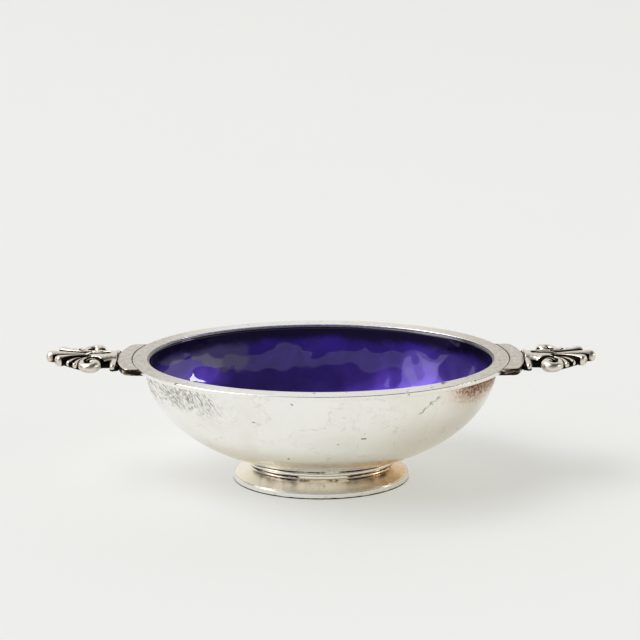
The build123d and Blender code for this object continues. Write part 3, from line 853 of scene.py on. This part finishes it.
def rib_arc(root, end):
    """Length and turn in degrees of the arc that leaves the root along the handle and comes to the end."""
    out, aside = end[0] - root[0], end[1] - root[1]
    turn = 2 * atan2(aside, out)
    length = hypot(out, aside) * (turn / 2) / sin(turn / 2) if turn else out
    return length, degrees(turn)


# Places are (outwards from the fan's back, sideways) and heights are from the rim's top
FAN_BACK_X = band_high.x + 0.12
TIP_LENGTH = palmette_high.x - FAN_BACK_X
TIP_ROOT = 0.4
TIP_STEM = 3.0
TIP_HEIGHTS = (-0.1, -0.25, -0.05)
TIP_WIDTHS = (0.4, 0.75, 1.2)
# Each side rib: its root, its end, its end's half width and its end's height
SIDE_RIBS = (
    ((2.3, 0.8), (8.25, 2.4), 1.05, 0.0),
    ((3.0, 1.2), (6.6, 3.55), 0.54, -0.15),
    ((3.2, 1.55), (5.55, 4.15), 0.5, -0.3),
)
RIB_ROOT = 0.32
RIB_ROOT_HEIGHT = 0.35
RIB_STEM = 0.6
RIB_STEM_SHARE = 0.4
VOLUTE_ROOT = (2.85, 2.0)
VOLUTE_LEAD = 1.6
VOLUTE_RADII = (1.7, 1.5, 1.0, 0.6, 0.4)
VOLUTE_WIDTHS = (0.5, 0.55, 0.58, 0.8, 0.9, 0.75, 0.6)
VOLUTE_HEIGHT = -0.05
VOLUTE_TILT = 0.12
VOLUTE_BALL = ((1.15, 0.2), (1.45, 0.95), (1.95, 1.35), (2.65, 1.5), (3.45, 1.1))
VOLUTE_BALL_ASIDE = 3.7
VOLUTE_BALL_HEIGHT = -0.5
VOLUTE_LINE = (
    (1.3, 3.1), (1.5, 2.6), (1.9, 2.2), (2.5, 1.95), (3.1, 1.95), (3.6, 2.2), (3.95, 2.6), (4.0, 3.1),
    (3.75, 3.45), (3.4, 3.4))
FAN_OUTLINE = (
    (-1.3, 1.6), (-0.6, 1.7), (0, 1.9), (0.5, 2.15), (1.0, 2.5), (1.5, 2.75), (2.0, 2.65), (2.5, 2.5),
    (3.1, 2.2), (4.3, 1.2))
FAN_CROWN = 0.44
FAN_TOP = 0.85
GROUND_OUTLINE = (
    (-0.1, 2.7), (1.2, 2.9), (2.0, 4.0), (2.9, 4.9), (4.0, 4.8), (5.0, 4.2), (6.2, 3.4), (7.6, 2.4),
    (8.6, 1.2))
GROUND_HEIGHT = -0.75


def outline_path(outline, heights, aside=0, mirror=1):
    """A straight path along the handle that takes its half widths from an outline."""
    places, widths = zip(*outline)
    steps = [(after - before, 0) for before, after in zip(places, places[1:])]
    return turned_path((places[0], aside), steps, heights, widths, mirror)


def cast_side_rib(root, end, radius, height, mirror):
    """A rib with a slim stem that swells to a club end."""
    length, turn = rib_arc(root, end)
    club = 1 - RIB_STEM
    steps = [(length * RIB_STEM, turn * RIB_STEM), (length * club + radius, turn * club)]
    stem = RIB_ROOT + (radius - RIB_ROOT) * RIB_STEM_SHARE
    heights = (RIB_ROOT_HEIGHT, (RIB_ROOT_HEIGHT + height) / 2, height)
    path = turned_path(root, steps, heights, (RIB_ROOT, stem, radius), mirror)
    return cast(path, end_radius=radius, crown=1.0, keel=1.1, fullness=0.85)


def cast_volute(mirror):
    """A strand that winds inwards by quarter turns, and the ball that it winds round."""
    steps = [(VOLUTE_LEAD, 0)] + [(radius * pi / 2, 90) for radius in VOLUTE_RADII]
    start = (VOLUTE_ROOT[0] - VOLUTE_LEAD, VOLUTE_ROOT[1])
    heights = [VOLUTE_HEIGHT] * len(VOLUTE_WIDTHS)
    spiral = turned_path(start, steps, heights, VOLUTE_WIDTHS, mirror, VOLUTE_TILT)
    ball = outline_path(VOLUTE_BALL, [VOLUTE_BALL_HEIGHT] * len(VOLUTE_BALL), VOLUTE_BALL_ASIDE, mirror)
    return [cast(spiral, end_radius=VOLUTE_WIDTHS[-1], crown=1.1, keel=1.1),
            cast(ball, end_radius=0.9, crown=0.6, keel=0.5)]


def palmette_strands():
    """The tip rib, the side ribs and volutes on both sides, the domed fan, and the ground below the ribs."""
    tip_steps = [(TIP_STEM, 0), (TIP_LENGTH - TIP_STEM - TIP_ROOT, 0)]
    tip = turned_path((TIP_ROOT, 0), tip_steps, TIP_HEIGHTS, TIP_WIDTHS)
    strands = [cast(tip, end_radius=TIP_WIDTHS[-1], crown=1.0, keel=0.85)]
    for mirror in (1, -1):
        strands += [cast_side_rib(*rib, mirror) for rib in SIDE_RIBS]
        strands += cast_volute(mirror)
    fan_heights = [FAN_TOP - FAN_CROWN * width for place, width in FAN_OUTLINE]
    fan = outline_path(FAN_OUTLINE, fan_heights)
    strands.append(cast(fan, end_radius=0.8, crown=FAN_CROWN, keel=0.4, fullness=0.9))
    ground = outline_path(GROUND_OUTLINE, [GROUND_HEIGHT] * len(GROUND_OUTLINE))
    strands.append(cast(ground, end_radius=0.8, crown=0.06, keel=0.3, fullness=0.5))
    return strands


def join(pieces, name):
    """Joins plain meshes into one piece."""
    shape = bmesh.new()
    for piece in pieces:
        shape.from_mesh(piece.data)
        bpy.data.objects.remove(piece)
    whole = new_piece(name)
    shape.to_mesh(whole.data)
    shape.free()
    return whole


def fuse(piece, grain, smoothing):
    """Melts overlapping strands into one skin, as a casting is. The mesh is in millimetres here."""
    melt = piece.modifiers.new("melt", "REMESH")
    melt.mode = "VOXEL"
    melt.voxel_size = grain
    melt.use_smooth_shade = True
    ease = piece.modifiers.new("ease", "SMOOTH")
    ease.factor = 0.5
    ease.iterations = smoothing
    return settle(piece)


GROOVE_DEPTH = 0.45
GROOVE_HALF_WIDTH = 0.24
GROOVE_STARTS = (0.1, 3.4, 3.6)
GROOVE_POINTS = 60
VOLUTE_LINE_POINTS = 10


def rib_line(root, end):
    """Points along a rib's arc, from its root to its end."""
    length, turn = rib_arc(root, end)
    swing = radians(turn)
    bend = length / swing if turn else 0.0
    points = []
    for index in range(GROOVE_POINTS + 1):
        share = index / GROOVE_POINTS
        if turn:
            step = (bend * sin(swing * share), bend * (1 - cos(swing * share)))
        else:
            step = (length * share, 0.0)
        points.append(Vector((root[0] + step[0], root[1] + step[1], 0)))
    return points


def find_grooves():
    """Search tree of points along the grooves, which run midway between neighbouring ribs to where the ribs
    part, the inner one from near the neck band, and along the spiral lines of the volutes."""
    lines = [rib_line((0.5, 0), (TIP_LENGTH - 1.0, 0))]
    lines += [rib_line(root, end) for root, end, radius, height in SIDE_RIBS]
    marks = []
    for inner, outer, start in zip(lines, lines[1:], GROOVE_STARTS):
        middle = [(one + other) / 2 for one, other in zip(inner, outer)]
        lead = Vector((start, middle[0].y * 0.5, 0))
        if start < middle[0].x:
            middle += [lead.lerp(middle[0], index / GROOVE_POINTS) for index in range(GROOVE_POINTS)]
        marks += [mark for mark in middle if mark.x >= start]
    for near, far in zip(VOLUTE_LINE, VOLUTE_LINE[1:]):
        for index in range(VOLUTE_LINE_POINTS):
            marks.append(Vector((*near, 0)).lerp(Vector((*far, 0)), index / VOLUTE_LINE_POINTS))
    marks += [Vector((mark.x, -mark.y, 0)) for mark in marks]
    tree = KDTree(len(marks))
    for index, mark in enumerate(marks):
        tree.insert(mark, index)
    tree.balance()
    return tree


grooves = find_grooves()


def groove_distance(place):
    """Distance of a place from the nearest groove's middle line, seen from above."""
    return grooves.find((place.x, place.y, 0))[2]


def chase_grooves(shape):
    """Sinks the grooves between the ribs."""
    shape.normal_update()
    for vert in shape.verts:
        if vert.normal.z > 0:
            share = exp(-(groove_distance(vert.co) / GROOVE_HALF_WIDTH) ** 2)
            vert.co.z -= GROOVE_DEPTH * share * vert.normal.z


def patina_and_shade_tree():
    """Marks how far each point lies below its surroundings, near and wide, for the oxide in the hollows.
    Steep sides and undersides get a little painted shade, and everything under a given height is painted
    black as shade."""
    tree, size = start_tree("recess_marks", {
        "Casting": "Geometry", "Near spread": "Int", "Near depth": "Float", "Wide spread": "Int",
        "Wide depth": "Float", "Steep share": "Float", "Black below": "Float", "Material": "Material"})
    place = add(tree, "GeometryNodeInputPosition").outputs["Position"]
    outward = add(tree, "GeometryNodeInputNormal").outputs["Normal"]
    depths = []
    for width in ("Near", "Wide"):
        around = add(tree, "GeometryNodeBlurAttribute", {
            "Value": place, "Iterations": size[width + " spread"]}, data_type="FLOAT_VECTOR").outputs["Value"]
        lean = add(tree, "ShaderNodeVectorMath", {
            0: around, 1: place}, operation="SUBTRACT").outputs["Vector"]
        below = add(tree, "ShaderNodeVectorMath", {
            0: lean, 1: outward}, operation="DOT_PRODUCT").outputs["Value"]
        depths.append(add(tree, "ShaderNodeMath", {
            0: below, 1: size[width + " depth"]}, operation="DIVIDE").outputs[0])
    deep = add(tree, "ShaderNodeMath", {0: depths[0], 1: depths[1]}, operation="MAXIMUM").outputs[0]
    tilt = add(tree, "ShaderNodeSeparateXYZ", {"Vector": outward}).outputs["Z"]
    steep_shade = where(tree, (tilt, 0.6, 0.1))
    with_steep_shade = add(tree, "ShaderNodeMath", {0: steep_shade, 1: size["Steep share"], 2: deep}, operation="MULTIPLY_ADD")
    underside_shade = where(tree, (tilt, 0.05, -0.4))
    share = add(tree, "ShaderNodeMath", {0: underside_shade, 1: 0.15, 2: with_steep_shade.outputs[0]}, operation="MULTIPLY_ADD")
    height = add(tree, "ShaderNodeSeparateXYZ", {"Vector": place}).outputs["Z"]
    low = add(tree, "FunctionNodeCompare", {"A": height, "B": size["Black below"]}, operation="LESS_THAN")
    black = add(tree, "GeometryNodeSwitch", {
        "Switch": low.outputs["Result"], "False": share.outputs[0], "True": 1.0},
        input_type="FLOAT").outputs["Output"]
    marked = add(tree, "GeometryNodeStoreNamedAttribute", {
        "Geometry": size["Casting"], "Name": "recess", "Value": black}, data_type="FLOAT", domain="POINT")
    return end_tree(tree, marked.outputs["Geometry"], size["Material"])


recess_marks = patina_and_shade_tree()


def mark_patina_and_shade(piece, black_below):
    """Gives a handle piece, made in millimetres, its marks of oxide in the hollows and of painted shade."""
    marked = grow(recess_marks, piece.name, {
        "Near spread": 24, "Near depth": 0.06, "Wide spread": 260, "Wide depth": 0.18, "Steep share": 0.52,
        "Black below": black_below, "Material": oxidised_silver}, piece.data)
    bpy.data.objects.remove(piece)
    return marked


def place_handle(piece, name, turn):
    """Puts a handle piece that was made in millimetres on its end of the cellar."""
    placed = new_piece(name, piece.data.copy())
    to_end = Matrix.Rotation(turn, 4, "Z") @ Matrix.Translation((FAN_BACK_X * MM, 0, RIM_Z * MM))
    placed.data.transform(to_end @ Matrix.Scale(MM, 4))
    return placed


UNDERSIDE = -1.3
UNDERSIDE_RISE = 0.5
FILED_BLACK = 0.15


def file_underside(shape):
    """Files the back of the casting to a plane that rises towards the tip."""
    for vert in shape.verts:
        plane = UNDERSIDE + UNDERSIDE_RISE * max(0.0, vert.co.x) / TIP_LENGTH
        vert.co.z = max(vert.co.z, plane)


def filed(black, vert):
    """The blackness of a point, less on the filed back, which is nearly bare metal."""
    return black * (1 - (1 - FILED_BLACK) * eased(vert.normal.z, -0.7, -0.95))


def palmette_black(recess, vert):
    """How black a point of the palmette is. The grooves, the sides beside them and the ground between the
    ribs were never rubbed bright; the low sides of the fan behind the volutes are black as painted shade
    over their oxide; and the outside of the volutes was rubbed most."""
    from_groove = groove_distance(vert.co)
    groove = eased(from_groove, 0.27, 0.13) * eased(vert.normal.z, 0.0, 0.4)
    groove_side = eased(from_groove, 0.8, 0.5) * eased(vert.normal.z, 0.75, 0.5)
    ground = eased(vert.co.z, -0.25, -0.4) * eased(vert.normal.z, 0.3, 0.6)
    behind_volute = eased(vert.co.x, 2.2, 1.7) * eased(abs(vert.co.y), 3.4, 3.1)
    shaded_fan_side = behind_volute * eased(vert.co.z, -0.05, -0.3) * eased(vert.normal.z, 0.9, 0.7)
    boss = eased(abs(vert.co.y), 3.9, 4.6) * eased(vert.co.x, 5.6, 5.0)
    return max(recess * (1 - 0.6 * boss), groove, groove_side, ground, shaded_fan_side)


# No point lies under the casting's own floor, so none is black for its height alone
CASTING_GRAIN = 0.075
CASTING_SMOOTHING = 4
CASTING_FLOOR = -9.0
casting = fuse(join(palmette_strands(), "casting"), CASTING_GRAIN, CASTING_SMOOTHING)
reshape(casting, file_underside)
reshape(casting, chase_grooves)
casting = mark_patina_and_shade(casting, CASTING_FLOOR)
for mark, vert in zip(casting.data.attributes["recess"].data, casting.data.vertices):
    mark.value = filed(palmette_black(mark.value, vert), vert)
for side, turn in (("right", 0), ("left", pi)):
    palmette = place_handle(casting, side + "_palmette_casting", turn)
    finish_piece(palmette, "oxidised_silver", side + "_palmette")
bpy.data.objects.remove(casting)

# Neck bands: a rounded bar across the root of the palmette over a low saddle that meets the plate
BAR_PLACE = (band_low.x + band_high.x) / 2 - FAN_BACK_X - 0.2
BAR_HEIGHT = -0.35
BAR_DROOP = 0.55
BAR_RADIUS = 0.55
BAR_FLARE = 0.2
BAR_SHADE_FLOOR = -0.95
BAR_GRAIN = 0.06
BAR_SMOOTHING = 3
SADDLE_GAP = 0.42
SADDLE_HEIGHT = -0.75
SADDLE_DROOP = 0.15
SADDLE_RADIUS = 0.42
CROSS_STEPS = 60
CROSS_SQUARENESS = 16
CROSS_END_SHARE = 0.02
CROSS_END_RADIUS = 0.01
half_span = band_high.y
plate_reach = plate_high.x - rim_high.x


def beside_plate(aside):
    """Place along the handle just outside the plate's curved edge."""
    return plate_reach + rim_high.x * (1 - (aside / rim_high.y) ** 2) ** 0.5 - FAN_BACK_X + SADDLE_GAP


def cross_path(place_at, span, height, droop, radius):
    """A path across the handle whose ends droop and round off. A function gives its place along the
    handle."""
    curve = bpy.data.curves.new("cross_path", "CURVE")
    curve.dimensions = "3D"
    line = curve.splines.new("POLY")
    line.points.add(CROSS_STEPS)
    for index, spot in enumerate(line.points):
        across = -1 + 2 * index / CROSS_STEPS
        spot.co = (place_at(across * span), across * span, height - droop * across**2, 1)
        closing = max(CROSS_END_SHARE, 1 - abs(across) ** CROSS_SQUARENESS) ** 0.5
        spot.radius = radius * (1 + BAR_FLARE * across**2) * closing
    path = bpy.data.objects.new("cross_path", curve)
    scene.collection.objects.link(path)
    return path


bar_path = cross_path(lambda aside: BAR_PLACE, half_span, BAR_HEIGHT, BAR_DROOP, BAR_RADIUS)
bar = cast(bar_path, CROSS_END_RADIUS, crown=1.2, keel=1.7)
saddle_path = cross_path(beside_plate, half_span - 0.1, SADDLE_HEIGHT, SADDLE_DROOP, SADDLE_RADIUS)
saddle = cast(saddle_path, CROSS_END_RADIUS, crown=1.0, keel=1.1, fullness=0.7)
bar = fuse(join([bar, saddle], "neck_bar"), BAR_GRAIN, BAR_SMOOTHING)
reshape(bar, file_underside)
# Painted shade: everything of the bar below its shade floor is black, which darkens its lower part
bar = mark_patina_and_shade(bar, BAR_SHADE_FLOOR)
for mark, vert in zip(bar.data.attributes["recess"].data, bar.data.vertices):
    # Painted shade: the gap between bar and plate, where the low saddle lies, is black
    gap_shade = eased(vert.co.x, BAR_PLACE - 0.4, BAR_PLACE - 0.55)
    mark.value = filed(max(mark.value, gap_shade), vert)
for side, turn in (("right", 0), ("left", pi)):
    band = place_handle(bar, side + "_neck_collar", turn)
    finish_piece(band, "oxidised_silver", side + "_neck_band")
bpy.data.objects.remove(bar)


# Stage: paper floor, world, lamps and camera

FLOOR_HALF = 3.0
floor_mesh = bpy.data.meshes.new("paper_floor")
floor_shape = bmesh.new()
bmesh.ops.create_grid(floor_shape, x_segments=8, y_segments=8, size=FLOOR_HALF)
floor_shape.to_mesh(floor_mesh)
floor_shape.free()
floor_mesh.materials.append(make_paper())
floor = new_piece("paper_floor", floor_mesh)


def direction(azimuth, elevation):
    """Unit vector: azimuth 0 is the photographer's side and positive turns to the right."""
    side, height = radians(azimuth), radians(elevation)
    return Vector((sin(side) * cos(height), -cos(side) * cos(height), sin(height)))


# The dark stretch behind the camera lies between two elevations in degrees, each with a soft edge
ROOM_TONE = "#EDEDED"
DARK_BAND_LOW = (24, 26)
DARK_BAND_HIGH = (66, 58)


def make_world():
    """A pale room all round, grey low behind the camera, dark above that, dark high on the right, and dark
    low on the left. The camera itself sees the pale room only."""
    world = bpy.data.worlds.new("pale_studio")
    world.use_nodes = True
    tree = world.node_tree
    tree.nodes.clear()
    toward = add(tree, "ShaderNodeTexCoord").outputs["Generated"]
    height = add(tree, "ShaderNodeSeparateXYZ", {"Vector": toward}).outputs["Z"]
    band = where(tree, (height, *[sin(radians(angle)) for angle in DARK_BAND_LOW]),
                 (height, *[sin(radians(angle)) for angle in DARK_BAND_HIGH]))
    # Each stretch: its middle, the angles from there at which it starts and is full, its tone and its share
    stretches = (
        (direction(0, 20), 48, 46.5, "#ACACAC", 1.0),
        (direction(0, 35), 45, 43.5, "#3C3C3C", band),
        (direction(66, 58), 41, 40, "#484848", 1.0),
        (direction(-87, 13), 17, 16, "#505050", 1.0),
    )
    room = linear(ROOM_TONE)
    for middle, start, full, tone, share in stretches:
        facing = add(tree, "ShaderNodeVectorMath", {
            0: toward, 1: middle}, operation="DOT_PRODUCT").outputs["Value"]
        room = lay(tree, room, tone, (facing, cos(radians(start)), cos(radians(full))), share)
    seen = add(tree, "ShaderNodeLightPath").outputs["Is Camera Ray"]
    shown = lay(tree, room, ROOM_TONE, seen)
    back = add(tree, "ShaderNodeBackground", {"Color": shown, "Strength": 1.0})
    add(tree, "ShaderNodeOutputWorld", {"Surface": back.outputs["Background"]})
    scene.world = world


make_world()

LAMP_AIM = Vector((0, 0, 0.018))


def softbox(name, azimuth, elevation, distance, width, height, radiance):
    """A flat lamp that faces the cellar. Its power is worked out from the brightness of its face."""
    lamp = bpy.data.lights.new(name, "AREA")
    lamp.shape = "RECTANGLE"
    lamp.size = width
    lamp.size_y = height
    lamp.energy = radiance * pi * width * height
    stand = bpy.data.objects.new(name, lamp)
    scene.collection.objects.link(stand)
    toward = direction(azimuth, elevation)
    stand.location = toward * distance + LAMP_AIM
    stand.rotation_euler = toward.to_track_quat("Z", "Y").to_euler()


softbox("key_softbox", azimuth=-78, elevation=56, distance=5.0, width=3.3, height=3.3, radiance=4.3)
softbox("left_window", azimuth=-57, elevation=26, distance=3.0, width=1.2, height=1.7, radiance=1.0)
softbox("right_lamp", azimuth=78, elevation=24, distance=1.5, width=0.3, height=0.16, radiance=13.0)

# Camera: fitted to the photograph's rim, enamel edge and foot. Angles are in degrees.
CAMERA_TARGET = Vector((-0.11, 0, 29.1))
CAMERA_DISTANCE = 300
CAMERA_TURN = 0.33
CAMERA_ELEVATION = 16.85
CAMERA_ROLL = -0.2
CAMERA_FOCAL_PIXELS = 1726
PHOTO_PIXELS = 640
SENSOR_WIDTH = 36
back = Matrix.Rotation(radians(CAMERA_TURN), 3, "Z") @ direction(0, CAMERA_ELEVATION)
camera_data = bpy.data.cameras.new("camera")
camera_data.sensor_width = SENSOR_WIDTH
camera_data.lens = SENSOR_WIDTH * CAMERA_FOCAL_PIXELS / PHOTO_PIXELS
camera_data.clip_start = 0.01
camera = bpy.data.objects.new("camera", camera_data)
scene.collection.objects.link(camera)
camera.location = (CAMERA_TARGET + back * CAMERA_DISTANCE) * MM
turn = back.to_track_quat("Z", "Y").to_matrix() @ Matrix.Rotation(radians(CAMERA_ROLL), 3, "Z")
camera.rotation_euler = turn.to_euler()
scene.camera = camera

scene.view_settings.view_transform = "Standard"
